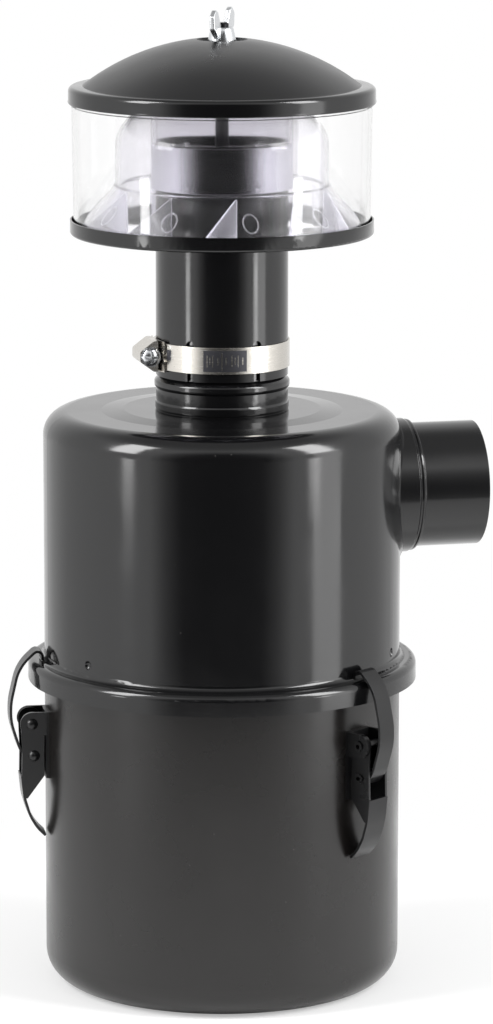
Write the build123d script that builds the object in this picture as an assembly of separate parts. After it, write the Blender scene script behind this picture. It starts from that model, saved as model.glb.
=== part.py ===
from build123d import *
import os
from math import atan2, cos, degrees, radians, sin, sqrt, tan

# Oil bath air filter. An oil bowl hangs by three over-centre latches under a
# deep drawn filter housing. A tube runs down its middle, an outlet leaves its
# side, and a clear swirl pre-cleaner is clamped to the tube on top.
# Millimetres, Z up. The origin is the centre of the bowl's base and +X runs
# along the outlet.

# Gauges of the materials
body_sheet = 1.2
light_sheet = 0.7
tube_wall = 1.5
clear_wall = 1.8

# Clearances
running_fit = 0.06
hole_fit = 0.02
slip_gap = 0.15
moving_gap = 0.3

# Oil bowl and the flanged joint above it
body_radius = 80.0
bowl_height = 143.7
bowl_corner = 14.0
rim_gap = 0.4
gasket_thickness = 3.85
gasket_width = 3.6
cup_margin = 20.0
cup_mouth_radius = 18.0
cup_lip = 5.0
cup_height = 36.0
cup_hole_radius = 4.0
cup_holes = 6

# Filter housing
flange_overhang = 7.4
flange_skirt = 9.55
flange_fold = 3.0
skirt_fold = 2.6
housing_height = 111.65
shoulder_radius = 10.5
land_radius = 44.0
land_slope = 10.0
land_rise = 0.8
crimp_rise = 6.2
crimp_ball = 2.4
crimp_depth = 1.2
crimp_angles = (-151.0, -33.0, 88.0)

# Side outlet
outlet_drop = 37.7
outlet_radius = 28.0
outlet_bell_radius = 30.25
outlet_length = 37.0
outlet_step = 7.4
outlet_root = 14.0
neck_lip = 2.0
neck_flare = 10.0

# Wire packing and the grids that hold it
packing_height = 28.0
grid_sheet = 0.8
grid_rib = 5.0
grid_spokes = 6

# Centre tube
tube_radius = 29.5
tube_foot = 34.0
tube_flare = 5.0
lower_bead = 4.2
plain_neck = 5.8
upper_bead = 4.0
bead_bulge = 0.75
spigot_length = 25.0

# Pre-cleaner tube, its slots and the hose clamp
tube_end_gap = 1.7
upper_tube_length = 104.7
slot_count = 6
slot_width = 3.2
slot_hole_radius = 2.25
slot_height = 15.85
slot_angle = 48.2
clamp_lift = 3.8
band_width = 11.9
band_sheet = 0.65
clamp_angle = 180.0
worm_radius = 3.4
worm_length = 13.6
clamp_head_width = 7.4
saddle_rear_angle = 17.0
saddle_fore_angle = 21.0
tail_angle = 62.0

# Pre-cleaner base, clear bowl and swirl insert
pan_lift = 62.6
pan_overhang = 0.9
pan_lip = 6.7
pan_collar = 4.0
pan_windows = 6
seal_thickness = 1.4
lid_seal_lap = 1.6
dust_bowl_radius = 66.6
dust_bowl_taper = 0.7
dust_bowl_height = 58.4
dust_bowl_lip = 0.5
insert_gap = 2.2
insert_foot_height = 4.6
insert_cone_run = 14.6
insert_waist_lift = 21.4
insert_bead = 0.7
insert_fold = 2.2
hood_wall = 26.6
crown_rise = 16.0
crown_fold = 1.2
sleeve_length = 23.0
vane_count = 10
vane_angle = -96.4
vane_sweep = 15.0
vane_sheet = 1.4
vane_slit = 2.2

# Lid, stud and wing nut
lid_overhang = 1.5
lid_skirt = 7.2
lid_seal = 4.7
lid_fold = 5.0
dome_margin = 6.4
dome_radius = 101.0
recess_radius = 11.5
recess_depth = 2.2
stud_radius = 3.0
bridge_drop = 15.0
bridge_width = 14.0
bridge_sheet = 2.0
stud_projection = 2.0
washer_radius = 8.0
washer_thickness = 1.0
nut_base_radius = 6.2
nut_boss_height = 6.5
nut_span = 28.0
nut_wing_rise = 14.9
nut_wing_thickness = 2.4
nut_angle = 57.3

# Latches. The pivots stand off the bowl's wall and hang below the flange's top.
latch_angles = (175.0, -55.0, 60.0)
latch_sheet = 1.2
latch_width = 12.5
lever_pivot_out = 7.2
lever_pivot_drop = 28.05
pivot_spacing = 14.9
pivot_lean = 1.0
rivet_radius = 1.5
rivet_head_radius = 2.6
rivet_head_height = 1.7
rivet_roll = 0.9
ear_radius = 5.3
base_plate_length = 30.3
lever_head = 5.1
window_drop = 24.2
bail_sheet = 1.2
eye_radius = 2.9
hook_curve = 2.3
hook_gap = 0.65

# Radii that follow
flange_radius = body_radius + flange_overhang
bowl_rim_radius = flange_radius - body_sheet - rim_gap
cup_radius = body_radius - cup_margin
body_middle = body_radius - body_sheet / 2
bore_radius = tube_radius - tube_wall
grid_radius = body_radius - body_sheet - moving_gap
crimp_centre = body_radius + crimp_ball - crimp_depth
insert_foot_radius = dust_bowl_radius - dust_bowl_taper - clear_wall - insert_gap
insert_waist_radius = insert_foot_radius - insert_cone_run
pan_radius = dust_bowl_radius + pan_overhang
lid_radius = dust_bowl_radius + lid_overhang
dome_edge = lid_radius - dome_margin

# Heights that follow
flange_top = bowl_height + gasket_thickness + body_sheet
housing_top = flange_top + housing_height
land_top = housing_top + land_rise
outlet_height = housing_top - outlet_drop
lower_bead_top = land_top + lower_bead
upper_bead_foot = lower_bead_top + plain_neck
upper_bead_top = upper_bead_foot + upper_bead
upper_tube_foot = upper_bead_top + tube_end_gap
upper_tube_top = upper_tube_foot + upper_tube_length
band_foot = upper_tube_foot + clamp_lift
band_middle = band_foot + band_width / 2
band_radius = tube_radius + 0.05
screw_reach = band_radius + 2 * band_sheet + 0.3 + worm_radius
pan_foot = upper_tube_foot + pan_lift
pan_floor = pan_foot + light_sheet
dust_bowl_foot = pan_floor + seal_thickness
dust_bowl_top = dust_bowl_foot + dust_bowl_height
lid_shoulder = dust_bowl_top + lid_seal + light_sheet
dome_middle = dome_radius - light_sheet / 2
dome_centre = lid_shoulder - light_sheet / 2 - sqrt(dome_middle ** 2 - dome_edge ** 2)
dome_top = dome_centre + sqrt(dome_radius ** 2 - recess_radius ** 2)
washer_foot = dome_top - recess_depth
nut_foot = washer_foot + washer_thickness
bridge_top = upper_tube_top - bridge_drop
crimp_seat = sqrt((crimp_ball + body_sheet) ** 2 - (crimp_centre - grid_radius) ** 2)
packing_foot = flange_top + crimp_rise + crimp_seat + grid_sheet

# Pivots of a latch: distance from the filter's axis, then height
lever_pivot = (body_radius + lever_pivot_out, flange_top - lever_pivot_drop)
bail_pivot = (lever_pivot[0] - pivot_lean, lever_pivot[1] - pivot_spacing)


def face_of(points):
    """Flat face inside a closed outline."""
    return make_face(Polyline(*points, close=True))


def turned(face):
    """Body of revolution of a face drawn as distance from the axis and height."""
    return revolve(Plane.XZ * face, Axis.Z, 360)


def pressed(points, radii, sheet):
    """Round pressing of one gauge, from the middle line of its section."""
    return turned(trace(FilletPolyline(*points, radius=radii), line_width=sheet))


def ring(inner, outer, foot, top):
    """Plain ring of rectangular section."""
    return turned(face_of([(inner, foot), (outer, foot), (outer, top), (inner, top)]))


def plate(face, near, far):
    """Plate drawn as distance from the axis and height, between two tangential offsets."""
    half = (far - near) / 2
    return Pos(0, near + half, 0) * extrude(Plane.XZ * face, half, both=True)


def crosswise(face_radius, near, far, place):
    """Round bar or hole along the tangential direction at a point of the latch plane."""
    return plate(Pos(place[0], place[1]) * Circle(face_radius), near, far)


def around(shape, angle):
    """Turn a shape about the filter's axis."""
    return Rot(0, 0, angle) * shape


def band_arc(inner, outer, foot, height, start, end):
    """Part of a ring between two angles."""
    outline = Polyline((inner, foot), (outer, foot), (outer, foot + height), (inner, foot + height), close=True)
    sector = revolve(Plane.XZ * make_face(outline), Axis.Z, end - start)
    return around(sector, start)


# Oil bowl and its inner parts

def oil_bowl():
    rim = bowl_height - body_sheet / 2
    line = [(0, body_sheet / 2), (body_middle, body_sheet / 2), (body_middle, rim), (bowl_rim_radius, rim)]
    return pressed(line, [bowl_corner - body_sheet / 2, flange_fold], body_sheet)


def oil_cup():
    floor = body_sheet + light_sheet / 2
    line = [(cup_mouth_radius, floor), (cup_radius, floor), (cup_radius, cup_height)]
    line += [(cup_radius + cup_lip, cup_height)]
    cup = pressed(line, [6, 2], light_sheet)
    hole = Rot(0, 90, 0) * Cylinder(cup_hole_radius, 4 * cup_hole_radius)
    for index in range(cup_holes):
        cup -= around(Pos(cup_radius, 0, cup_height / 2) * hole, index * 360 / cup_holes)
    return cup


def bowl_gasket():
    outer = flange_radius - skirt_fold - body_sheet / 2 - slip_gap
    return ring(outer - gasket_width, outer, bowl_height, bowl_height + gasket_thickness)


# Filter housing

def envelope(inset, foot):
    """Solid bounded by the housing's outside, moved inwards by an inset, its seam at the back."""
    radius = body_radius - inset
    top = housing_top - inset
    face = face_of([(0, foot), (radius, foot), (radius, top), (0, top)])
    corner = [v for v in face.vertices() if v.X > 1 and v.Y > foot + 1]
    return around(turned(fillet(corner, shoulder_radius - inset)), 180)


def flared_envelope(inset, foot):
    """The same with the flare that is drawn out of the wall round the outlet."""
    lip_side = neck_flare - neck_lip
    lip_radius = outlet_bell_radius + body_sheet * 0.55 + hole_fit
    stub_radius = lip_radius - neck_flare + sqrt(neck_flare ** 2 - lip_side ** 2) - inset
    stub = Pos(body_radius, 0, outlet_height) * Rot(0, 90, 0) * Cylinder(stub_radius, body_radius)
    joined = envelope(inset, foot) + stub
    seam = [edge for edge in joined.edges() if edge.geom_type not in (GeomType.LINE, GeomType.CIRCLE)]
    return fillet(seam, neck_flare + inset)


def crimp(angle):
    """Dimple pressed in from outside, which the lower grid rests on."""
    place = Pos(crimp_centre, 0, flange_top + crimp_rise)
    return around(place * Sphere(crimp_ball), angle), around(place * Sphere(crimp_ball + body_sheet), angle)


def upper_housing():
    joint = flange_top + 2 * flange_fold
    outside = flared_envelope(0, joint) & envelope(-neck_lip, joint)
    shell = outside - flared_envelope(body_sheet, joint - 1)
    land = [(0, housing_top), (0, land_top), (land_radius, land_top), (land_radius + land_slope, housing_top)]
    raised = turned(face_of(land))
    shell = shell + raised - Pos(0, 0, -body_sheet) * raised
    shell -= Pos(0, 0, housing_top) * Cylinder(tube_radius + hole_fit, 20)
    flange = flange_top - body_sheet / 2
    skirt = flange_radius - body_sheet / 2
    line = [(body_middle, joint), (body_middle, flange), (skirt, flange), (skirt, flange_top - flange_skirt)]
    shell += pressed(line, [flange_fold, skirt_fold], body_sheet)
    inner = Pos(0, 0, flange_top) * Cylinder(body_middle, housing_height / 2)
    for angle in crimp_angles:
        hollow, bump = crimp(angle)
        shell = shell + (bump & inner) - hollow
    bore = Pos(body_radius, 0, outlet_height) * Rot(0, 90, 0) * Cylinder(outlet_bell_radius + hole_fit, body_radius)
    return shell - bore


def outlet_spigot():
    """Outlet tube with a belled root, turned about the X axis and cut to the wall inside."""
    root = body_radius - outlet_root
    bell = outlet_bell_radius
    tube = outlet_radius
    step = body_radius + outlet_step
    end = body_radius + outlet_length
    wall = tube_wall
    outline = [(root, bell - wall), (root, bell), (step - 3.4, bell), (step - 2.6, bell - 0.75)]
    outline += [(step - 1.9, bell - 0.75), (step - 1.5, bell - 0.5), (step - 0.7, bell - 0.6)]
    outline += [(step, tube), (end, tube), (end, tube - wall)]
    outline += [(step - 0.5, tube - wall), (step - 3.6, bell - wall)]
    face = face_of(outline)
    rounded = [v for v in face.vertices() if step - 3.5 < v.X < step + 0.1 and v.Y > tube - 0.1]
    face = fillet(rounded, 0.25)
    tube_body = Pos(0, 0, outlet_height) * revolve(Plane.XZ * face, Axis.X, 360)
    return tube_body - Pos(0, 0, outlet_height) * Cylinder(body_radius - 3, 3 * bell)


# Filter element

def grid(foot):
    """Spoked retaining grid of the wire packing."""
    inner = tube_radius + moving_gap
    outer = grid_radius
    middle = (inner + outer) / 2
    disc = ring(inner, outer, foot, foot + grid_sheet)
    spans = [(inner + grid_rib, middle - grid_rib / 2), (middle + grid_rib / 2, outer - grid_rib)]
    for low, high in spans:
        trim = degrees(grid_rib / 2 / low)
        sweep = 360 / grid_spokes - 2 * trim
        window = band_arc(low, high, foot - 1, grid_sheet + 2, trim, trim + sweep)
        for index in range(grid_spokes):
            disc -= around(window, index * 360 / grid_spokes)
    return disc


def filter_packing():
    inner = tube_radius + moving_gap
    top = packing_foot + packing_height
    body = face_of([(inner, packing_foot), (grid_radius, packing_foot), (grid_radius, top), (inner, top)])
    return turned(fillet(body.vertices(), 2))


# Centre tube

def centre_tube():
    middle = tube_radius - tube_wall / 2
    spigot = bore_radius - slip_gap - tube_wall / 2
    ball = middle + bead_bulge
    low = middle + bead_bulge / 2
    line = [(middle + tube_flare, tube_foot), (middle, tube_foot + 9), (middle, land_top + 0.3)]
    line += [(low, land_top + 1.1), (low, lower_bead_top - 0.7), (middle, lower_bead_top)]
    line += [(middle, upper_bead_foot), (ball, upper_bead_foot + 1.1), (ball, upper_bead_top - 1.2)]
    line += [(spigot, upper_bead_top + 1.3), (spigot, upper_bead_top + spigot_length)]
    return pressed(line, [8] + [0.4] * 4 + [0.6] * 4, tube_wall)


# Pre-cleaner tube and hose clamp

def precleaner_tube():
    tube = ring(bore_radius, tube_radius, upper_tube_foot, upper_tube_top)
    cut = Pos(tube_radius, 0, slot_height / 2) * Box(4 * tube_wall, slot_width, slot_height)
    end_hole = Pos(tube_radius, 0, slot_height) * Rot(0, 90, 0) * Cylinder(slot_hole_radius, 4 * tube_wall)
    keyhole = Pos(0, 0, upper_tube_foot) * (cut + end_hole)
    for index in range(slot_count):
        tube -= around(keyhole, slot_angle + index * 360 / slot_count)
    return tube


def clamp_band():
    """Closed band with its slotted tail lying on it behind the screw housing."""
    band = ring(band_radius, band_radius + band_sheet, band_foot, band_foot + band_width)
    tail_inner = band_radius + band_sheet
    tail = band_arc(tail_inner, tail_inner + band_sheet, band_foot, band_width, -tail_angle, 6)
    return around(band + tail, clamp_angle)


def clamp_housing():
    """Arched screw housing on a saddle with brace shaped ends."""
    inner = band_radius + 2 * band_sheet + 0.02
    front = band_radius + band_sheet + 0.02
    arch = worm_radius + moving_gap + 0.9
    half = worm_length / 2 + 1.4
    foot = band_width / 2 + 0.9
    outline = [(inner + 0.2, -foot), (screw_reach - 1.6, -foot), (screw_reach + arch, -2.2)]
    outline += [(screw_reach + arch, 2.2), (screw_reach - 1.6, foot), (inner + 0.2, foot)]
    face = face_of(outline)
    corners = [v for v in face.vertices() if v.X > inner + 1]
    shell = plate(fillet(corners, 1.8), -half, half)
    hollow = plate(Pos(screw_reach, 0) * Circle(worm_radius + moving_gap), -worm_length / 2 - 0.2, worm_length / 2 + 0.2)
    throat = plate(Pos(inner + 1.2, 0) * Rectangle(3, 2 * worm_radius + 1), -worm_length / 2 - 0.2, worm_length / 2 + 0.2)
    shell = shell - hollow - throat
    rear = band_arc(inner, inner + 0.8, -foot, 2 * foot, -saddle_rear_angle, 8)
    fore = band_arc(front, front + 0.8, -foot, 2 * foot, 6.6, saddle_fore_angle)
    saddle = rear + fore
    notch = Rot(0, 90, 0) * Cylinder(2.6, 20)
    for side in (-saddle_rear_angle - 2.8, saddle_fore_angle + 2.8):
        saddle -= around(Pos(inner, 0, 0) * notch, side)
    body = shell + (saddle - hollow - throat)
    body -= Cylinder(front - 0.02, 40)
    body -= band_arc(front - 1, inner, -foot - 1, 2 * foot + 2, -40, 6.6)
    body -= plate(Pos(screw_reach, 0) * Circle(2.6 + running_fit), 0, half + 1)
    body -= plate(Pos(screw_reach, 0) * Circle(2.1 + running_fit), -half - 1, 0)
    return around(Pos(0, 0, band_middle) * body, clamp_angle)


def clamp_screw():
    """Worm with two journals and a flanged hexagon head with a cross recess."""
    half = worm_length / 2
    wall_end = half + 1.4
    centre = Pos(screw_reach, 0)
    screw = plate(centre * Circle(worm_radius), -half, half)
    screw += plate(centre * Circle(2.6), half, wall_end + 0.4)
    screw += plate(centre * Circle(2.1), -wall_end - 0.8, -half)
    head_foot = wall_end + 0.3
    screw += plate(centre * Circle(clamp_head_width * 0.6), head_foot, head_foot + 1)
    hexagon = plate(centre * RegularPolygon(clamp_head_width / 2, 6, major_radius=False), head_foot + 1, head_foot + 4)
    dome = Pos(screw_reach, head_foot - 2.4, 0) * Sphere(clamp_head_width * 0.78)
    screw += hexagon & dome
    cross = centre * (Rectangle(5.4, 1.1) + Rectangle(1.1, 5.4))
    screw -= plate(cross, head_foot + 2.4, head_foot + 6)
    return around(Pos(0, 0, band_middle) * screw, clamp_angle)


# Pre-cleaner

def precleaner_base():
    """Shallow pan on the tube, with windows that let the air in from below."""
    rim = pan_radius - light_sheet / 2
    floor = pan_foot + light_sheet / 2
    collar = tube_radius + hole_fit + light_sheet / 2
    line = [(collar, pan_foot - pan_collar), (collar, floor), (rim, floor), (rim, pan_foot + pan_lip)]
    pan = pressed(line, [1.5, 1.2], light_sheet)
    inner = tube_radius + 6
    outer = insert_foot_radius - 8
    sweep = 360 / pan_windows
    window = band_arc(inner, outer, pan_foot - 1, light_sheet + 2, 8, sweep - 8)
    for index in range(pan_windows):
        pan -= around(window, index * sweep)
    return pan


def dust_bowl():
    """Clear drum with a slight taper and a thicker lip under the lid."""
    top = dust_bowl_radius
    foot = dust_bowl_radius - dust_bowl_taper
    lip = top + dust_bowl_lip
    outline = [(foot - clear_wall, dust_bowl_foot), (foot, dust_bowl_foot), (top, dust_bowl_top - 3.4)]
    outline += [(lip, dust_bowl_top - 2.9), (lip, dust_bowl_top), (top - clear_wall, dust_bowl_top)]
    return turned(face_of(outline))


def lower_seal():
    outer = dust_bowl_radius - dust_bowl_taper
    return ring(insert_foot_radius + 0.1, outer, pan_floor, dust_bowl_foot)


def upper_seal():
    """Ring on the bowl's rim, bevelled to lie under the lid's rounded shoulder."""
    outer = dust_bowl_radius - slip_gap
    flat = lid_radius - light_sheet / 2 - lid_fold
    inner = flat - lid_seal_lap
    under_fold = lid_fold - light_sheet / 2
    top = dust_bowl_top + lid_seal
    shoulder = top - under_fold + sqrt(under_fold ** 2 - (outer - flat) ** 2)
    return turned(face_of([(inner, dust_bowl_top), (outer, dust_bowl_top), (outer, shoulder), (flat, top), (inner, top)]))


def vane_frame(index):
    """Foot and top of one vane's outer edge, on the cone of the insert."""
    start = radians(vane_angle + index * 360 / vane_count)
    end = start - radians(vane_sweep)
    inner = insert_waist_radius - clear_wall / 2
    outer = insert_foot_radius - clear_wall / 2
    near = Vector(inner * cos(start), inner * sin(start))
    far = Vector(outer * cos(end), outer * sin(end))
    return near, far


def swirl_insert():
    """Clear hood, cone and swirl vanes moulded in one, seated on the tube's rim."""
    foot = insert_foot_radius - clear_wall / 2
    waist = insert_waist_radius - clear_wall / 2
    sleeve = tube_radius + slip_gap + clear_wall / 2
    cone_foot = pan_floor + insert_foot_height
    cone_top = pan_floor + insert_waist_lift
    crown = upper_tube_top + crown_rise
    hood_top = cone_top + hood_wall
    cone_line = [(foot, pan_floor), (foot, cone_foot), (waist, cone_top), (waist, hood_top)]
    line = cone_line + [(sleeve, crown), (sleeve, crown - sleeve_length)]
    turn = tan(atan2(waist - sleeve, crown - hood_top) / 2)
    hood_side = sqrt((waist - sleeve) ** 2 + (crown - hood_top) ** 2)
    hood_curve = (hood_side - crown_fold / turn - moving_gap) / turn
    body = pressed(line, [insert_fold, 2, hood_curve, crown_fold], clear_wall)
    body += ring(waist, insert_waist_radius + insert_bead, cone_top - 0.5, cone_top + 0.6)
    body += ring(bore_radius + 0.2, sleeve, upper_tube_top, upper_tube_top + clear_wall)
    under_cone = turned(face_of([(0, pan_floor), (foot, pan_floor), (foot, cone_foot), (waist, cone_top), (0, cone_top)]))
    keep = under_cone - Pos(0, 0, cone_top) * Cylinder(waist - hole_fit * 10, 3 * insert_waist_lift)
    for index in range(vane_count):
        near, far = vane_frame(index)
        run = far - near
        length = run.length + 12
        heading = degrees(atan2(run.Y, run.X))
        middle = near + run * 0.5
        blade = Box(length, vane_sheet, insert_waist_lift)
        place = Pos(middle.X, middle.Y, pan_floor + insert_waist_lift / 2) * Rot(0, 0, heading)
        slit = Pos(0, vane_sheet / 2 + vane_slit / 2, insert_foot_height / 2 + 0.4)
        slit = slit * Box(length, vane_slit, insert_waist_lift - insert_foot_height - 3)
        outside = Pos(0, 0, cone_top) * Cylinder(waist + 0.9, 3 * insert_waist_lift)
        body -= (place * slit) - outside
        body += (place * blade) & keep
    return body


def precleaner_lid():
    """Domed lid with a stepped rim and a sunk seat for the wing nut."""
    rim = lid_radius - light_sheet / 2
    shoulder = lid_shoulder - light_sheet / 2
    hole = stud_radius + 0.4
    seat = washer_foot - light_sheet / 2
    middle_radius = (dome_edge + recess_radius) / 2
    middle_height = dome_centre + sqrt(dome_middle ** 2 - middle_radius ** 2)
    recess_height = dome_centre + sqrt(dome_middle ** 2 - recess_radius ** 2)
    edge = (dome_edge, shoulder)
    brink = (recess_radius, recess_height)
    skirt_line = FilletPolyline((rim, lid_shoulder - lid_skirt), (rim, shoulder), edge, radius=lid_fold)
    arch = ThreePointArc(edge, (middle_radius, middle_height), brink)
    seat_line = FilletPolyline(brink, (recess_radius - 0.8, seat), (hole, seat), radius=0.6)
    lid = turned(trace(skirt_line, line_width=light_sheet))
    lid += turned(trace(arch, line_width=light_sheet))
    lid += turned(trace(seat_line, line_width=light_sheet))
    return lid


def stud_bridge():
    """Strap across the tube with its ends turned down along the wall."""
    inside = Pos(0, 0, bridge_top) * Cylinder(bore_radius - hole_fit, 60)
    strap = Pos(0, 0, bridge_top - bridge_sheet / 2) * Box(2 * tube_radius, bridge_width, bridge_sheet)
    ends = ring(bore_radius - bridge_sheet, bore_radius, bridge_top - 12, bridge_top)
    ends = ends & (Pos(0, 0, bridge_top) * Box(2 * tube_radius, bridge_width, 60))
    hole = Pos(0, 0, bridge_top) * Cylinder(stud_radius + hole_fit, 20)
    return around(((strap + ends) & inside) - hole, nut_angle)


def stud():
    top = nut_foot + nut_boss_height + stud_projection
    foot = bridge_top - bridge_sheet
    chamfer = 0.6
    outline = [(0, foot - 3), (5, foot - 3), (5, foot), (stud_radius, foot)]
    outline += [(stud_radius, top - chamfer), (stud_radius - chamfer, top), (0, top)]
    return turned(face_of(outline))


def washer():
    return ring(stud_radius + running_fit, washer_radius, washer_foot, nut_foot)


def wing_nut():
    """Cast nut with a tapered boss and two swept wings."""
    bore = stud_radius + running_fit
    boss_top = nut_foot + nut_boss_height
    boss = [(bore, nut_foot), (nut_base_radius, nut_foot), (nut_base_radius, nut_foot + 1)]
    boss += [(nut_base_radius - 1.1, boss_top - 0.6), (nut_base_radius - 1.7, boss_top), (bore, boss_top)]
    nut = turned(face_of(boss))
    half = nut_span / 2
    tip = nut_foot + nut_wing_rise
    wing = [(nut_base_radius + 1.2, nut_foot + 1.4)]
    wing += [(half - 0.6, nut_foot + 6.2), (half, tip - 3), (half - 3.4, tip)]
    wing += [(half - 6.0, tip - 1.2), (stud_radius + 0.9, boss_top), (stud_radius + 0.9, nut_foot + 1.2)]
    face = face_of(wing)
    corners = [v for v in face.vertices() if v.X > nut_base_radius + 1]
    blade = plate(fillet(corners, 1.5), -nut_wing_thickness / 2, nut_wing_thickness / 2)
    blade = fillet(blade.edges().filter_by(Axis.Y, reverse=True).group_by(Axis.X)[-1], 0.6)
    nut += blade + around(blade, 180)
    nut -= Pos(0, 0, nut_foot) * Cylinder(bore, 40)
    return around(nut, nut_angle)


# Latches. Each is drawn on the X axis and turned to its place.

plate_half = latch_width / 2
ear_inner = plate_half + moving_gap
ear_outer = ear_inner + latch_sheet
bail_half = plate_half - latch_sheet - moving_gap
shank_hole = rivet_radius + hole_fit
pivot_hole = rivet_radius + running_fit


def latch_bracket():
    """Saddle plate spot welded to the bowl, with two ears."""
    spread = degrees(ear_outer / body_radius)
    pivot_r, pivot_z = lever_pivot
    foot = pivot_z + ear_radius - base_plate_length
    base = band_arc(body_radius, body_radius + latch_sheet, foot, base_plate_length, -spread, spread)
    arm = Pos((body_middle + pivot_r) / 2, pivot_z) * Rectangle(pivot_r - body_middle, 2 * ear_radius)
    face = arm + Pos(pivot_r, pivot_z) * Circle(ear_radius)
    ears = plate(face, ear_inner, ear_outer) + plate(face, -ear_outer, -ear_inner)
    ears -= Cylinder(body_radius, 4 * bowl_height)
    bracket = base + ears
    return bracket - crosswise(shank_hole, -latch_width, latch_width, lever_pivot)


def latch_lever():
    """Channel with two cheeks, an open window for the bail and a curved finger tab."""
    head = lever_head
    pivot_r, pivot_z = lever_pivot
    window_foot = pivot_z - window_drop
    cheek = [(pivot_r - head, pivot_z + head), (pivot_r + head, pivot_z + head), (pivot_r + 4.4, pivot_z - 13)]
    cheek += [(pivot_r + 4.6, window_foot + 0.4), (pivot_r + 3.4, window_foot - 8)]
    cheek += [(pivot_r + 2.8, window_foot - 11.3), (pivot_r - 5.6, window_foot)]
    face = face_of(cheek)
    face = fillet([v for v in face.vertices() if v.Y > pivot_z], head - 0.3)
    face = fillet([v for v in face.vertices() if v.Y < window_foot + 0.1], 0.7)
    side = plate(face, plate_half - latch_sheet, plate_half)
    tab_line = [(pivot_r + 4.4, window_foot), (pivot_r + 3.4, window_foot - 10.1), (pivot_r + 0.9, window_foot - 18.4)]
    tab_line += [(pivot_r - 2.3, window_foot - 23.9), (pivot_r - 6.0, window_foot - 27.6)]
    tab_section = trace(FilletPolyline(*tab_line, radius=[22, 22, 20]), line_width=latch_sheet)
    tab = plate(tab_section, -plate_half, plate_half)
    lever = side + plate(face, -plate_half, -plate_half + latch_sheet) + tab
    lever -= crosswise(pivot_hole, -latch_width, latch_width, lever_pivot)
    return lever - crosswise(shank_hole, -latch_width, latch_width, bail_pivot)


def latch_bail():
    """Flat strip, rolled into an eye below and hooked over the flange above."""
    eye_r, eye_z = bail_pivot
    drop = eye_radius - bail_sheet / 2
    hook = (body_radius + 1.9, flange_top + hook_gap)
    line = [(eye_r, eye_z - drop), (eye_r + 2.4, eye_z - drop + 0.1), (eye_r + 6.2, eye_z + 2.8)]
    line += [(eye_r + 10.2, eye_z + 15.7), (eye_r + 10.1, eye_z + 24.2), (eye_r + 6.4, eye_z + 40.4)]
    line += [(hook[0], eye_z + 50.3), hook]
    section = trace(FilletPolyline(*line, radius=[2.4, 14, 26, 30, 20, hook_curve]), line_width=bail_sheet)
    eye = Pos(eye_r, eye_z) * Circle(eye_radius)
    strip = plate(section + eye, -bail_half, bail_half)
    return strip - crosswise(pivot_hole, -latch_width, latch_width, bail_pivot)


def rivet(place, near, far):
    """Rivet with a domed head on one side and a hollow rolled end on the other."""
    shank = crosswise(rivet_radius, near, far, place)
    ball_radius = (rivet_head_radius ** 2 + rivet_head_height ** 2) / (2 * rivet_head_height)
    ball = Pos(place[0], far + rivet_head_height - ball_radius, place[1]) * Sphere(ball_radius)
    head = ball & crosswise(rivet_head_radius, far, far + rivet_head_height, place)
    rolled = crosswise(rivet_head_radius - 0.3, near - rivet_roll, near, place)
    socket = crosswise(rivet_radius - 0.5, near - 2 * rivet_roll, near + 2 * rivet_roll, place)
    return shank + head + rolled - socket


def lever_rivet():
    return rivet(lever_pivot, -ear_outer, ear_outer)


def bail_rivet():
    return rivet(bail_pivot, -plate_half, plate_half)


def lower_grid():
    return grid(packing_foot - grid_sheet)


def upper_grid():
    return grid(packing_foot + packing_height)


single_parts = {
    "oil_bowl": oil_bowl,
    "oil_cup": oil_cup,
    "bowl_gasket": bowl_gasket,
    "upper_housing": upper_housing,
    "outlet_spigot": outlet_spigot,
    "lower_grid": lower_grid,
    "filter_packing": filter_packing,
    "upper_grid": upper_grid,
    "centre_tube": centre_tube,
    "precleaner_tube": precleaner_tube,
    "clamp_band": clamp_band,
    "clamp_housing": clamp_housing,
    "clamp_screw": clamp_screw,
    "precleaner_base": precleaner_base,
    "lower_seal": lower_seal,
    "swirl_insert": swirl_insert,
    "dust_bowl": dust_bowl,
    "upper_seal": upper_seal,
    "precleaner_lid": precleaner_lid,
    "stud_bridge": stud_bridge,
    "stud": stud,
    "washer": washer,
    "wing_nut": wing_nut,
}
latch_parts = {
    "latch_bracket": latch_bracket,
    "latch_lever": latch_lever,
    "latch_bail": latch_bail,
    "lever_rivet": lever_rivet,
    "bail_rivet": bail_rivet,
}

os.makedirs("parts", exist_ok=True)
for name, make in single_parts.items():
    export_step(make(), f"parts/{name}.step")
for name, make in latch_parts.items():
    shape = make()
    for number, angle in enumerate(latch_angles, start=1):
        export_step(around(shape, angle), f"parts/{name}_{number}.step")
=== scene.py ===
# %% [markdown]
# # Oil bath air filter, dressed in Blender
#
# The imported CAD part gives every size, place and joint. This script gives it
# its look: stoved enamel on the pressed cans, satin black on the lid and the
# latches, clear moulded plastic, stainless strip, bright zinc and rubber.
# Where an edge of the solids is too sharp or too plain for a close view, a
# piece of the script's own stands in for that node.

from math import atan2, cos, pi, radians, sin, sqrt

import bmesh
import bpy
from mathutils import Matrix, Vector


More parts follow.
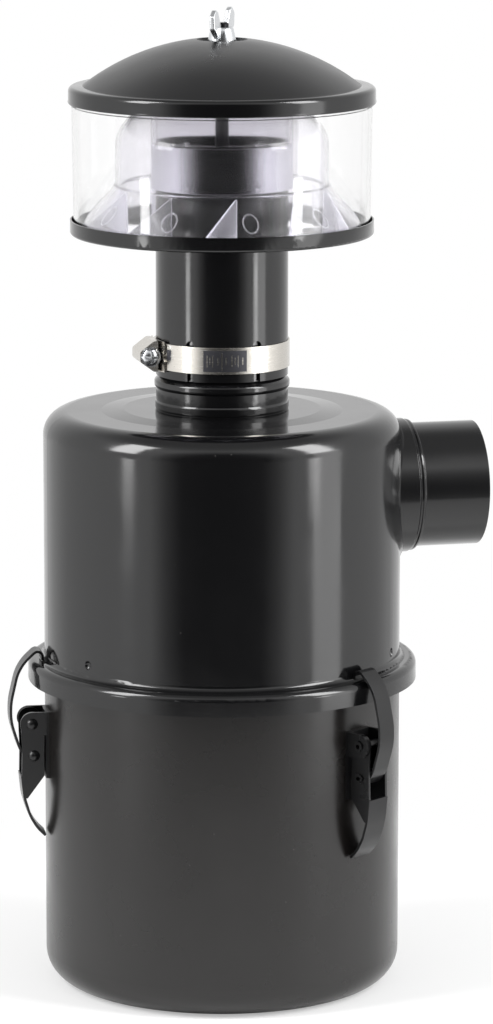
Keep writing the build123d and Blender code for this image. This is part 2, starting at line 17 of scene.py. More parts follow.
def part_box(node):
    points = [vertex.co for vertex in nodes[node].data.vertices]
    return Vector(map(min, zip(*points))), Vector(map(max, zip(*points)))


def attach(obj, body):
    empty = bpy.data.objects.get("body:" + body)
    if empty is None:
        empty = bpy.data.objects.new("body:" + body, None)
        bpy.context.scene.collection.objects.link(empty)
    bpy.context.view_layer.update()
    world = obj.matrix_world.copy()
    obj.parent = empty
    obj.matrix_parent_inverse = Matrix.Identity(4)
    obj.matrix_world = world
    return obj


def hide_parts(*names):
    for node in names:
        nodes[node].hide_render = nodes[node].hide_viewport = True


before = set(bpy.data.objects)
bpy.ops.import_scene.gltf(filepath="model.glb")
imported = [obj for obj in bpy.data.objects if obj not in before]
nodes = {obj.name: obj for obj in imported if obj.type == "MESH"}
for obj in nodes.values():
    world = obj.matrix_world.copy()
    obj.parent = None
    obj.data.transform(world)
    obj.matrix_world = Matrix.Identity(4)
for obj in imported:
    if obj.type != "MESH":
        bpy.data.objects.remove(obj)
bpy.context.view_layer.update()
scene = bpy.context.scene
scene.view_settings.view_transform = "Standard"

# %% [markdown]
# ## Camera
#
# The photographed view is taken from a little above, with a long lens, and
# the outlet points slightly towards the camera. The distance, the tilt and
# the lens were worked out from how flat the round rims look at different
# heights. A long lens far away gives the same nearly parallel sides. The
# camera and the lamps all stand on a line from the middle of the filter and
# look back along it, so one function places them.

# %% Camera at the photographed angle
VIEW_TURN = radians(-13.5)
VIEW_TILT = radians(10.57)
VIEW_DISTANCE = 2.2216
AIM_HEIGHT = 0.2137
SENSOR_HEIGHT = 36.0
FOCAL_LENGTH = 174.02
SIDE_SHIFT = 24.5 / 1024
CLIP_END = 50.0


def direction(turn, tilt):
    """Unit vector away from the filter, turned from its front and tilted up."""
    return Vector((sin(turn) * cos(tilt), -cos(turn) * cos(tilt), sin(tilt)))


def stand(thing, towards, distance):
    """Stands a camera or lamp out along a direction, looking back at the filter."""
    thing.location = Vector((0, 0, AIM_HEIGHT)) + distance * towards
    thing.rotation_euler = towards.to_track_quat("Z", "Y").to_euler()
    scene.collection.objects.link(thing)


lens_data = bpy.data.cameras.new("long_lens")
lens_data.sensor_fit = "VERTICAL"
lens_data.sensor_height = SENSOR_HEIGHT
lens_data.lens = FOCAL_LENGTH
lens_data.shift_x = SIDE_SHIFT
lens_data.clip_end = CLIP_END
camera = bpy.data.objects.new("camera", lens_data)
stand(camera, direction(VIEW_TURN, VIEW_TILT), VIEW_DISTANCE)
scene.camera = camera
print("camera at", [round(v, 3) for v in camera.location])

# %% [markdown]
# ## Helpers for materials
#
# Colours are written as the hex values a picture editor shows, and turned to
# the linear values Blender calculates with. One function adds a shader node,
# sets its values and joins it to the nodes that feed it. A change of range and
# a mix of two shaders come up again and again, so each has a short function.

# %% Colour and node helpers
WHITE = "#ffffff"


def linear(hex_colour):
    """Linear red, green, blue and alpha of an sRGB hex colour."""
    channels = [int(hex_colour[i:i + 2], 16) / 255 for i in (1, 3, 5)]
    return [c / 12.92 if c <= 0.04045 else ((c + 0.055) / 1.055) ** 2.4 for c in channels] + [1.0]


def add_node(tree, kind, settings=None, values=None, links=None):
    """Adds one node, with its settings, the values of its sockets and the sockets that feed it."""
    made = tree.nodes.new(kind)
    for name, value in (settings or {}).items():
        setattr(made, name, value)
    for socket, value in (values or {}).items():
        made.inputs[socket].default_value = value
    for socket, source in (links or {}).items():
        tree.links.new(source, made.inputs[socket])
    return made


def map_range(tree, source, before, after, smooth=False):
    """Socket with a value taken from the range before, (low, high), to the range after."""
    settings = {"interpolation_type": "SMOOTHSTEP"} if smooth else None
    values = {"From Min": before[0], "From Max": before[1], "To Min": after[0], "To Max": after[1]}
    return add_node(tree, "ShaderNodeMapRange", settings, values, {"Value": source}).outputs["Result"]


def mix_shaders(tree, share, first, second):
    """Mix of two shaders. The share of the second is a number, or the socket that gives it."""
    mix = add_node(tree, "ShaderNodeMixShader", None, None, {1: first.outputs[0], 2: second.outputs[0]})
    if isinstance(share, float):
        mix.inputs[0].default_value = share
    else:
        tree.links.new(share, mix.inputs[0])
    return mix


def new_material(name):
    """An empty node material, its tree and its output node."""
    material = bpy.data.materials.new(name)
    material.use_nodes = True
    material.node_tree.nodes.clear()
    output = add_node(material.node_tree, "ShaderNodeOutputMaterial")
    return material, material.node_tree, output


def finish_with(tree, output, shader):
    """Joins the last shader to the output."""
    tree.links.new(shader.outputs[0], output.inputs["Surface"])


print("white is", [round(v, 2) for v in linear(WHITE)])

# %% [markdown]
# ## Studio
#
# Black gloss has hardly any colour of its own: what the eye sees on it is the
# room. The room here is a white tent that is open, and dark, on the camera's
# side, with a sheet of white paper under the object. So the upright walls
# show a dark band in the middle and pale bands beside it, and the bowl, low
# over the paper, is paler than the housing. What the camera sees directly is
# plain white, and matt surfaces are lit by an even grey.

# %% World: a white tent with a dark opening towards the camera
TENT_PEAK = 1.6
# Degrees away from the opening, and how bright the tent is there
TENT_SHADES = ((180, 0.65), (141, 0.6), (118, 0.62), (90, 0.85), (70, 0.95), (48, 0.9), (38, 0.34), (28, 0.06),
               (0, 0.02))
CEILING_EDGE = (0.6, 0.95)
CEILING_SHADE = 0.35
AMBIENT = 0.5
world = bpy.data.worlds.new("studio")
world.use_nodes = True
scene.world = world
sky = world.node_tree
sky.nodes.clear()
opening = direction(VIEW_TURN, 0)
aim = add_node(sky, "ShaderNodeTexCoord")
facing = add_node(sky, "ShaderNodeVectorMath", {"operation": "DOT_PRODUCT"}, {1: opening},
                  {0: aim.outputs["Generated"]})
along = map_range(sky, facing.outputs["Value"], (-1.0, 1.0), (0.0, 1.0))
tent = add_node(sky, "ShaderNodeValToRGB", None, None, {"Fac": along})
stops = tent.color_ramp.elements
while len(stops) < len(TENT_SHADES):
    stops.new(0.5)
for stop, (angle, shade) in zip(stops, TENT_SHADES):
    stop.position = (1 + cos(radians(angle))) / 2
    stop.color = (shade, shade, shade, 1)
height = add_node(sky, "ShaderNodeSeparateXYZ", None, None, {"Vector": aim.outputs["Generated"]})
overhead = map_range(sky, height.outputs["Z"], CEILING_EDGE, (TENT_PEAK, TENT_PEAK * CEILING_SHADE), smooth=True)
ray = add_node(sky, "ShaderNodeLightPath")
diffuse_sky = add_node(sky, "ShaderNodeBackground", None, {"Color": linear(WHITE), "Strength": AMBIENT})
tent_sky = add_node(sky, "ShaderNodeBackground", None, None, {"Color": tent.outputs["Color"], "Strength": overhead})
white_sky = add_node(sky, "ShaderNodeBackground", None, {"Color": linear(WHITE), "Strength": 1.0})
mirrored = add_node(sky, "ShaderNodeMath", {"operation": "MINIMUM"}, {1: 1.0}, {0: ray.outputs["Glossy Depth"]})
scattered = add_node(sky, "ShaderNodeMath", {"operation": "ADD", "use_clamp": True}, None,
                     {0: mirrored.outputs[0], 1: ray.outputs["Diffuse Depth"]})
unbroken = add_node(sky, "ShaderNodeMath", {"operation": "SUBTRACT"}, {0: 1.0}, {1: scattered.outputs[0]})
lit = mix_shaders(sky, mirrored.outputs[0], diffuse_sky, tent_sky)
seen = mix_shaders(sky, unbroken.outputs[0], lit, white_sky)
add_node(sky, "ShaderNodeOutputWorld", None, None, {"Surface": seen.outputs[0]})
print("tent opens towards", [round(v, 2) for v in opening])

# %% [markdown]
# A soft lamp is a lit rectangle. Two tall ones above, on either side, draw the
# bright arcs on the shoulder and the flange. A dim panel on the right widens
# the pale band there. Two small strips, a little below the middle, draw the
# narrow bright lines on the tube and on the skirt of the lid.

# %% Soft lamps
def soft_lamp(name, turn, tilt, distance, width, height, radiance):
    """A rectangular soft box that looks at the object. Its power follows from how bright its face is."""
    data = bpy.data.lights.new(name, "AREA")
    data.shape = "RECTANGLE"
    data.size = width
    data.size_y = height
    data.energy = radiance * width * height * pi
    stand(bpy.data.objects.new(name, data), direction(VIEW_TURN + radians(turn), radians(tilt)), distance)


# Degrees beside the camera and above the horizon, metres away, metres wide and high, brightness of the face
LAMPS = {
    "left_soft_box": (-66, 33, 1.7, 0.55, 1.1, 13.0),
    "right_soft_box": (66, 33, 1.7, 0.55, 1.1, 13.0),
    "right_panel": (70, -4, 1.9, 0.7, 1.5, 2.4),
    "left_strip": (-61, -6, 1.9, 0.26, 0.2, 8.0),
    "right_strip": (60, -6, 1.9, 0.26, 0.2, 7.0),
}
for name, setting in LAMPS.items():
    soft_lamp(name, *setting)
print("lamps:", *LAMPS)

# %% [markdown]
# The paper is a round sheet. Near the object it is an ordinary white surface,
# so that it takes the shadow. Towards its edge it turns into the same white
# as the background, so that no edge shows. For the camera it is mixed with a
# little white light all over, because the shadow on the real paper is faint.
# In reflections it is painted a darker grey towards its edge: painted shade in what the object reflects.

# %% Paper under the object
PAPER_RADIUS = 0.66
FADE_RADII = (0.08, 0.3)
FADE_SHARES = (0.4, 1.0)
DULL_RADII = (0.1, 0.6)
DULL_SHARES = (0.0, 0.4)
# Grey painted into the paper for reflections only: painted shade, darker outwards
REFLECTION_SHADE_GREY = "#3c3c3c"
paper_mesh = bmesh.new()
bmesh.ops.create_circle(paper_mesh, cap_ends=True, segments=96, radius=PAPER_RADIUS)
paper_data = bpy.data.meshes.new("paper")
paper_mesh.to_mesh(paper_data)
paper_mesh.free()
paper = bpy.data.objects.new("paper", paper_data)
scene.collection.objects.link(paper)
paper_white, tree, output = new_material("white_paper")
spot = add_node(tree, "ShaderNodeTexCoord")
reach = add_node(tree, "ShaderNodeVectorMath", {"operation": "LENGTH"}, None, {0: spot.outputs["Object"]})
fade = map_range(tree, reach.outputs["Value"], FADE_RADII, FADE_SHARES, smooth=True)
ray = add_node(tree, "ShaderNodeLightPath")
fade_seen = add_node(tree, "ShaderNodeMath", {"operation": "MULTIPLY"}, None,
                     {0: fade, 1: ray.outputs["Is Camera Ray"]})
# Painted shade: outwards, the paper turns grey where a reflection sees it
reflection_shade_share = map_range(tree, reach.outputs["Value"], DULL_RADII, DULL_SHARES)
reflection_shade = add_node(tree, "ShaderNodeMath", {"operation": "MULTIPLY"}, None,
                  {0: reflection_shade_share, 1: ray.outputs["Is Glossy Ray"]})
paper_tint = add_node(tree, "ShaderNodeMix", {"data_type": "RGBA"}, {6: linear(WHITE), 7: linear(REFLECTION_SHADE_GREY)},
                      {0: reflection_shade.outputs[0]})
sheet = add_node(tree, "ShaderNodeBsdfDiffuse", None, None, {"Color": paper_tint.outputs[2]})
glow = add_node(tree, "ShaderNodeEmission", None, {"Color": linear(WHITE), "Strength": 1.0})
finish_with(tree, output, mix_shaders(tree, fade_seen.outputs[0], sheet, glow))
paper_data.materials.append(paper_white)
print("paper", round(2 * PAPER_RADIUS, 2), "m across")

# %% [markdown]
# ## Stoved black enamel
#
# The cans and the outlet are pressed from mild steel and coated with black
# enamel that is baked on. It is smooth and fairly glossy, with the very fine
# waviness that painters call orange peel, and a few specks of dust. The body
# colour is nearly black, so the gloss does all the work. The other black coats
# are the same coat with other numbers: the bowl's is duller, the lid's satin,
# and the coat of the beaded tube is wavy, as the metal under it is rolled.

# %% Black coatings
DUST_COLOUR = "#8d8a86"
DUST_SIZE = (0.018, 0.03)


def black_coating(name, colour, roughness, peel_mm, peel_depth_mm, speck=0.0, ior=1.5):
    """Baked black coating: a wavy gloss, clouded a little, with specks of dust."""
    material, tree, output = new_material(name)
    place = add_node(tree, "ShaderNodeTexCoord").outputs["Object"]
    peel = add_node(tree, "ShaderNodeTexNoise", None, {"Scale": 1000 / peel_mm, "Detail": 2.0, "Roughness": 0.4},
                    {"Vector": place})
    wave = add_node(tree, "ShaderNodeBump", None, {"Strength": 1.0, "Distance": peel_depth_mm / 1000},
                    {"Height": peel.outputs["Fac"]})
    cloud = add_node(tree, "ShaderNodeTexNoise", None, {"Scale": 35.0, "Detail": 4.0}, {"Vector": place})
    gloss = map_range(tree, cloud.outputs["Fac"], (0.3, 0.7), (roughness - 0.03, roughness + 0.05))
    dust = add_node(tree, "ShaderNodeTexVoronoi", None, {"Scale": 110.0}, {"Vector": place})
    dust_spots = map_range(tree, dust.outputs["Distance"], DUST_SIZE, (speck, 0.0))
    tint = add_node(tree, "ShaderNodeMix", {"data_type": "RGBA"}, {6: linear(colour), 7: linear(DUST_COLOUR)},
                    {0: dust_spots})
    paint = add_node(tree, "ShaderNodeBsdfPrincipled", None, {"IOR": ior},
                     {"Base Color": tint.outputs[2], "Roughness": gloss, "Normal": wave.outputs["Normal"]})
    finish_with(tree, output, paint)
    return material


enamel = black_coating("stoved_black_enamel", "#0a0a0b", 0.12, 1.6, 0.005, speck=0.25)
bowl_enamel = black_coating("stoved_black_enamel_dull", "#100e0d", 0.25, 1.6, 0.01, speck=0.25, ior=1.46)
lid_paint = black_coating("satin_black_paint", "#0e0e0f", 0.3, 0.9, 0.02)
rim_paint = black_coating("glossy_black_paint", "#080809", 0.13, 1.6, 0.004)
tube_paint = black_coating("black_tube_paint", "#0a0a0b", 0.14, 1.6, 0.005)
beaded_enamel = black_coating("rolled_black_enamel", "#0a0a0b", 0.12, 7.0, 0.16)
latch_coat = black_coating("black_electrocoat", "#0c0c0d", 0.28, 0.8, 0.008, ior=1.42)
coats = (enamel, bowl_enamel, lid_paint, rim_paint, tube_paint, beaded_enamel, latch_coat)
print("coatings:", *[coat.name for coat in coats])

# %% [markdown]
# ## Metals, rubber and plastic
#
# The clamp is rolled stainless strip, so its fine lines run along the band.
# The wing nut and the clamp's screw are zinc plated, which is bright with a
# faint blue cast. The stud is black oxide, and the parts inside are plain
# sheet and crimped wire.

# %% Bright metals
def bright_metal(name, colour, roughness, grain_mm, grain_depth_mm, stretch=(1, 1, 1)):
    """Bare or plated metal with a fine grain, drawn out along the rolling where there is one."""
    material, tree, output = new_material(name)
    place = add_node(tree, "ShaderNodeTexCoord").outputs["Object"]
    drawn = add_node(tree, "ShaderNodeMapping", None, {"Scale": stretch}, {"Vector": place})
    grain = add_node(tree, "ShaderNodeTexNoise", None, {"Scale": 1000 / grain_mm, "Detail": 3.0},
                     {"Vector": drawn.outputs["Vector"]})
    relief = add_node(tree, "ShaderNodeBump", None, {"Strength": 1.0, "Distance": grain_depth_mm / 1000},
                      {"Height": grain.outputs["Fac"]})
    sheen = map_range(tree, grain.outputs["Fac"], (0.3, 0.7), (roughness - 0.05, roughness + 0.08))
    metal = add_node(tree, "ShaderNodeBsdfPrincipled", None, {"Base Color": linear(colour), "Metallic": 1.0},
                     {"Roughness": sheen, "Normal": relief.outputs["Normal"]})
    finish_with(tree, output, metal)
    return material


stainless = bright_metal("rolled_stainless_strip", "#c8c4bd", 0.22, 0.5, 0.0015, stretch=(0.1, 0.1, 1))
etched_steel = bright_metal("etched_stainless_strip", "#55555a", 0.42, 0.4, 0.004)
zinc = bright_metal("bright_zinc_plate", "#d4d6d8", 0.22, 0.6, 0.01)
black_oxide = bright_metal("black_oxide_steel", "#2a2a2c", 0.35, 0.6, 0.01)
plain_sheet = bright_metal("galvanised_sheet", "#9a9b9b", 0.4, 3.0, 0.01)
wire = bright_metal("crimped_steel_wire", "#7d7a74", 0.45, 1.5, 0.6)
metals = (stainless, etched_steel, zinc, black_oxide, plain_sheet, wire)
print("metals:", *[metal.name for metal in metals])

# %% [markdown]
# Rubber is matt. The clear parts are moulded in one of the hard clear
# plastics, very smooth. Light goes through such a wall, and its shadow has to
# let light through too, or the inside of the bowl would be black. The swirl
# insert is a little milky and violet: haze is mixed in where a wall is seen
# edge on, because the line of sight goes through more plastic there. Its
# sleeve over the tube is frosted, so it has a silky sheen beside the middle.

# %% Rubber and clear plastic
HAZE_COLOUR = "#f2f1f8"
SILK_COLOUR = "#d6d5dc"

rubber, tree, output = new_material("moulded_rubber")
place = add_node(tree, "ShaderNodeTexCoord").outputs["Object"]
skin = add_node(tree, "ShaderNodeTexNoise", None, {"Scale": 900.0, "Detail": 2.0}, {"Vector": place})
skin_relief = add_node(tree, "ShaderNodeBump", None, {"Strength": 1.0, "Distance": 0.00002},
                       {"Height": skin.outputs["Fac"]})
rubber_shader = add_node(tree, "ShaderNodeBsdfPrincipled", None, {"Base Color": linear("#161616"), "Roughness": 0.7},
                         {"Normal": skin_relief.outputs["Normal"]})
finish_with(tree, output, rubber_shader)


def clear_shader(tree, colour, roughness, ior):
    """Clear plastic: light passes through it, so its shadow is let through too."""
    plastic = add_node(tree, "ShaderNodeBsdfPrincipled", None,
                       {"Base Color": linear(colour), "Roughness": roughness, "IOR": ior, "Transmission Weight": 1.0})
    open_way = add_node(tree, "ShaderNodeBsdfTransparent", None, {"Color": linear(colour)})
    ray = add_node(tree, "ShaderNodeLightPath")
    return mix_shaders(tree, ray.outputs["Is Shadow Ray"], plastic, open_way)


def clear_moulding(name, colour, roughness):
    """Material of plain clear plastic."""
    material, tree, output = new_material(name)
    finish_with(tree, output, clear_shader(tree, colour, roughness, 1.5))
    return material


def milky_moulding(name, colour, facing_share, edge_share, start=0.12, full=0.75, gloss=0.0):
    """Clear plastic with a haze or a sheen that thickens where the wall is seen edge on, as a cloudy layer does."""
    material, tree, output = new_material(name)
    clear = clear_shader(tree, colour, 0.08, 1.3)
    haze = add_node(tree, "ShaderNodeBsdfTranslucent", None, {"Color": linear(HAZE_COLOUR)})
    cloud = add_node(tree, "ShaderNodeBsdfDiffuse", None, {"Color": linear(HAZE_COLOUR)})
    silk = add_node(tree, "ShaderNodeBsdfAnisotropic", None, {"Color": linear(SILK_COLOUR), "Roughness": 0.5})
    milk = mix_shaders(tree, gloss, mix_shaders(tree, 0.5, haze, cloud), silk)
    edge = add_node(tree, "ShaderNodeLayerWeight", None, {"Blend": 0.5})
    share = map_range(tree, edge.outputs["Facing"], (start, full), (facing_share, edge_share), smooth=True)
    finish_with(tree, output, mix_shaders(tree, share, clear, milk))
    return material


clear_bowl = clear_moulding("clear_plastic_bowl", "#fcfcfc", 0.02)
clear_insert = milky_moulding("clear_plastic_insert", "#f7f6f9", 0.003, 0.06)
frosted_sleeve = milky_moulding("clear_plastic_sleeve", "#f7f6f9", 0.0, 0.46, start=0.035, full=0.27, gloss=0.85)
milky_vane = milky_moulding("clear_plastic_vane", "#fafafc", 0.05, 0.5)
print("rubber and plastics:", *[m.name for m in (rubber, clear_bowl, clear_insert, frosted_sleeve, milky_vane)])

# %% [markdown]
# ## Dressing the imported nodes
#
# Every node of the pack gets a finish by its name, those that a piece of the
# script's own will stand in for as well. The fifteen latch parts share one.

# %% Dress the nodes
finish_of = {
    "oil_bowl": bowl_enamel, "oil_cup": plain_sheet, "bowl_gasket": rubber, "upper_housing": enamel,
    "outlet_spigot": enamel, "lower_grid": plain_sheet, "filter_packing": wire, "upper_grid": plain_sheet,
    "centre_tube": beaded_enamel, "precleaner_tube": tube_paint, "clamp_band": stainless, "clamp_housing": stainless,
    "clamp_screw": zinc, "precleaner_base": lid_paint, "lower_seal": rubber, "swirl_insert": clear_insert,
    "dust_bowl": clear_bowl, "upper_seal": rubber, "precleaner_lid": lid_paint, "stud_bridge": black_oxide,
    "stud": black_oxide, "washer": zinc, "wing_nut": zinc,
}
for number in (1, 2, 3):
    for piece in ("latch_bracket", "latch_lever", "latch_bail", "lever_rivet", "bail_rivet"):
        finish_of[f"{piece}_{number}"] = latch_coat
for name, finish in finish_of.items():
    for slot in nodes[name].material_slots:
        slot.material = finish
print("dressed", len(finish_of), "nodes")

# %% [markdown]
# ## Pieces of the scene's own
#
# A pressing is one sheet that follows a line. So each round piece below is
# drawn as half a section, the line through the middle of its wall, with its
# corners rounded by a bevel of the vertices. The line is spun once about the
# axis, and a Solidify modifier gives the wall its gauge. Where that wall ends,
# its rim is flat, so the open edges are marked sharp. Flat parts start from a
# few corners and are extruded. Heights and radii start from the boxes of the
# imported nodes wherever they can.

# %% Helpers for pieces
MM = 0.001


def box_mm(node):
    """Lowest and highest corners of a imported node, in millimetres."""
    low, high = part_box(node)
    return [v * 1000 for v in low], [v * 1000 for v in high]


def section_line(points, corners=()):
    """Bmesh with a line in the XZ plane. Corners are (number of the point, radius, segments)."""
    shape = bmesh.new()
    places = [shape.verts.new((r * MM, 0, z * MM)) for r, z in points]
    for pair in zip(places, places[1:]):
        shape.edges.new(pair)
    for number, radius, segments in corners:
        bmesh.ops.bevel(shape, geom=[places[number]], offset=radius * MM, offset_type="OFFSET", affect="VERTICES",
                        segments=segments, profile=0.5, material=-1)
    return shape


def spun(shape, steps=128):
    """Spins the whole line once about the Z axis."""
    bmesh.ops.spin(shape, geom=shape.verts[:] + shape.edges[:], cent=(0, 0, 0), axis=(0, 0, 1), angle=2 * pi,
                   steps=steps, use_merge=True)
    bmesh.ops.remove_doubles(shape, verts=shape.verts, dist=1e-6)
    bmesh.ops.recalc_face_normals(shape, faces=shape.faces)
    return shape


def repeated(shape, count):
    """Repeats what is there about the Z axis, to that many in all."""
    one = shape.verts[:] + shape.edges[:] + shape.faces[:]
    bmesh.ops.spin(shape, geom=one, cent=(0, 0, 0), axis=(0, 0, 1), angle=2 * pi * (count - 1) / count,
                   steps=count - 1, use_duplicate=True)
    bmesh.ops.recalc_face_normals(shape, faces=shape.faces)
    return shape


def as_piece(name, shape, body, finish, stands_for=(), wall=0.0, sharp=40):
    """Object from a bmesh, smooth up to an angle, riding on a body, with a wall of some millimetres."""
    mesh = bpy.data.meshes.new(name)
    shape.edges.index_update()
    open_edges = [edge.index for edge in shape.edges if edge.is_boundary]
    shape.to_mesh(mesh)
    shape.free()
    mesh.materials.append(finish)
    mesh.shade_smooth()
    mesh.set_sharp_from_angle(angle=radians(sharp))
    if wall:
        crisp = mesh.attributes.get("sharp_edge") or mesh.attributes.new("sharp_edge", "BOOLEAN", "EDGE")
        for number in open_edges:
            crisp.data[number].value = True
    piece = bpy.data.objects.new(name, mesh)
    scene.collection.objects.link(piece)
    if wall:
        gauge = piece.modifiers.new("wall", "SOLIDIFY")
        gauge.thickness = wall * MM
        gauge.offset = 0.0
    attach(piece, body)
    if stands_for:
        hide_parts(*stands_for)
    return piece


def eased_copy(node, body, finish, edge_mm, segments=2):
    """Copy of a node whose sharp edges are broken, as tumbling or paint leaves them."""
    shape = bmesh.new()
    shape.from_mesh(nodes[node].data)
    bmesh.ops.remove_doubles(shape, verts=shape.verts, dist=2e-6)
    bmesh.ops.dissolve_limit(shape, angle_limit=radians(1.0), verts=shape.verts, edges=shape.edges)
    piece = as_piece("eased_" + node, shape, body, finish, (node,))
    ease = piece.modifiers.new("eased_edges", "BEVEL")
    ease.width = edge_mm * MM
    ease.segments = segments
    ease.limit_method = "ANGLE"
    ease.angle_limit = radians(38)
    ease.use_clamp_overlap = True
    ease.harden_normals = True


lid_low, lid_high = box_mm("precleaner_lid")
print("lid from", round(lid_low[2], 1), "to", round(lid_high[2], 1), "mm")

# %% [markdown]
# ## Lid
#
# The dome has a satin, slightly grainy coat, and its stepped rim is glossier.
# The rim is drawn with a tighter corner than the solid has, because its
# bright upper edge is what the eye sees first. Dome and rim are two pieces,
# so that each has its own coat. The arc of the dome is made by spinning one
# point about the centre of the dome.

# %% Lid dome, rim and the seal under it
LID_GAUGE = 0.7
DOME_RADIUS = 100.65
DOME_FOOT = 61.6
DOME_FOOT_LIFT = 6.9
DOME_STEPS = 28
SEAT_RADIUS = 11.5
STUD_HOLE = 3.4
RIM_DROP = 0.1
RIM_HEIGHT = 6.8
SEAL_CORNER = 1.6
lid_radius = lid_high[0] - LID_GAUGE / 2
rim_foot = lid_low[2] - RIM_DROP
rim_top = rim_foot + RIM_HEIGHT
dome_foot_height = lid_low[2] + DOME_FOOT_LIFT
dome_centre = dome_foot_height - sqrt(DOME_RADIUS ** 2 - DOME_FOOT ** 2)
seat_height = box_mm("washer")[0][2] - LID_GAUGE / 2

dome = bmesh.new()
brink_height = dome_centre + sqrt(DOME_RADIUS ** 2 - SEAT_RADIUS ** 2)
brink = dome.verts.new((SEAT_RADIUS * MM, 0, brink_height * MM))
sweep = atan2(DOME_FOOT, dome_foot_height - dome_centre) - atan2(SEAT_RADIUS, brink_height - dome_centre)
bmesh.ops.spin(dome, geom=[brink], cent=(0, 0, dome_centre * MM), axis=(0, 1, 0), angle=sweep, steps=DOME_STEPS)
inner = dome.verts.new(((SEAT_RADIUS - 0.7) * MM, 0, (seat_height + 0.4) * MM))
seat = dome.verts.new(((SEAT_RADIUS - 1.2) * MM, 0, seat_height * MM))
hole = dome.verts.new((STUD_HOLE * MM, 0, seat_height * MM))
for pair in ((brink, inner), (inner, seat), (seat, hole)):
    dome.edges.new(pair)
as_piece("lid_dome", spun(dome), "filter_body", lid_paint, ("precleaner_lid",), wall=LID_GAUGE)

rim_line = [(DOME_FOOT - 0.1, dome_foot_height), (DOME_FOOT + 0.5, rim_top + 0.35), (lid_radius, rim_top),
            (lid_radius, rim_foot + 1.4), (lid_radius + 0.2, rim_foot + 0.5), (lid_radius, rim_foot)]
rim = section_line(rim_line, ((2, 1.7, 6), (1, 0.5, 3)))
as_piece("lid_rim", spun(rim), "filter_body", rim_paint, wall=LID_GAUGE)

seal_low, seal_high = box_mm("upper_seal")
seal_top = rim_top - LID_GAUGE / 2 - 0.1
seal_line = [(DOME_FOOT + 1, seal_low[2]), (seal_high[0], seal_low[2]), (seal_high[0], seal_top - SEAL_CORNER),
             (seal_high[0] - SEAL_CORNER, seal_top), (DOME_FOOT + 1, seal_top), (DOME_FOOT + 1, seal_low[2])]
as_piece("lid_seal", spun(section_line(seal_line)), "filter_body", rubber, ("upper_seal",))
print("rim", round(rim_foot, 1), "to", round(rim_top, 1), "mm, dome foot at", round(dome_foot_height, 1))

# %% [markdown]
# ## Swirl insert
#
# The hood, the cone and ten vanes are one clear moulding. Air comes up under
# the cone, and each vane is a thin upright plate from the waist to the foot
# that turns it. Here the shell is spun from its middle line, with a neck and a
# frosted sleeve that reach down over the tube, and a small bead round its
# waist. The vanes are plates of four corners, repeated round the axis, and
# milkier than the shell, so that they look pale in front of the black tube.

# %% Insert: shell, sleeve and vanes
INSERT_WALL = 1.8
CONE_RUN = 14.6
CONE_FOOT_LIFT = 4.6
WAIST_LIFT = 21.4
HOOD_WALL = 26.6
SLEEVE_FIT = 0.15
INSERT_STEPS = 96
INSERT_SHARP = 60
insert_low, insert_high = box_mm("swirl_insert")
tube_high = box_mm("precleaner_tube")[1]
floor = insert_low[2]
foot_radius = insert_high[0] - INSERT_WALL / 2
waist_radius = foot_radius - CONE_RUN
cone_foot = floor + CONE_FOOT_LIFT
waist_height = floor + WAIST_LIFT
hood_top = waist_height + HOOD_WALL
sleeve_radius = tube_high[0] + SLEEVE_FIT + INSERT_WALL / 2
crown_height = insert_high[2] - INSERT_WALL / 2
sleeve_top = tube_high[2] - 1.0


def insert_piece(name, points, finish, corners=(), stands_for=()):
    """One spun wall of the insert."""
    shape = spun(section_line(points, corners), INSERT_STEPS)
    as_piece(name, shape, "filter_body", finish, stands_for, wall=INSERT_WALL, sharp=INSERT_SHARP)


shell_line = [(foot_radius, floor), (foot_radius, cone_foot), (waist_radius, waist_height), (waist_radius, hood_top),
              (sleeve_radius, crown_height)]
shell_corners = ((3, 9.0, 10), (2, 0.8, 3), (1, 1.2, 3))
insert_piece("insert_hood", shell_line, clear_insert, shell_corners, ("swirl_insert",))
neck_line = [(sleeve_radius + 1.3, crown_height - 1.2), (sleeve_radius, crown_height - 2.2),
             (sleeve_radius, sleeve_top)]
insert_piece("insert_neck", neck_line, clear_insert)
sleeve_line = [(sleeve_radius, sleeve_top - 0.1), (sleeve_radius, waist_height - 1.0)]
insert_piece("insert_sleeve", sleeve_line, frosted_sleeve)
bead_foot = waist_radius + 0.95
bead_line = [(bead_foot, waist_height - 0.5), (waist_radius + 1.7, waist_height + 0.1),
             (bead_foot, waist_height + 0.7), (bead_foot, waist_height - 0.5)]
bead = spun(section_line(bead_line), INSERT_STEPS)
as_piece("insert_waist_bead", bead, "filter_body", clear_insert)

VANE_COUNT = 10
VANE_START = radians(-96.4)
VANE_SWEEP = radians(15.0)
VANE_SHEET = 1.4
VANE_EDGE = 0.25
VANE_INSET = 1.3
near_end = Vector((cos(VANE_START), sin(VANE_START), 0)) * (waist_radius - VANE_INSET)
far_end = Vector((cos(VANE_START - VANE_SWEEP), sin(VANE_START - VANE_SWEEP), 0)) * (foot_radius - VANE_INSET)
across = Vector((0, 0, 1)).cross(far_end - near_end).normalized() * VANE_SHEET
vanes = bmesh.new()
corners = [(near_end, floor + 0.3), (far_end, floor + 0.3), (far_end, cone_foot - 1.0), (near_end, waist_height - 1.6)]
blade = vanes.faces.new([vanes.verts.new((p.x * MM, p.y * MM, z * MM)) for p, z in corners])
grown = bmesh.ops.extrude_face_region(vanes, geom=[blade])
bmesh.ops.translate(vanes, vec=across * MM, verts=[v for v in grown["geom"] if isinstance(v, bmesh.types.BMVert)])
bmesh.ops.bevel(vanes, geom=vanes.edges[:], offset=VANE_EDGE * MM, offset_type="OFFSET", affect="EDGES", segments=2,
                profile=0.5, material=-1)
as_piece("insert_vanes", repeated(vanes, VANE_COUNT), "filter_body", milky_vane)
print("insert waist", round(waist_radius, 1), "at", round(waist_height, 1), "mm,", VANE_COUNT, "vanes")

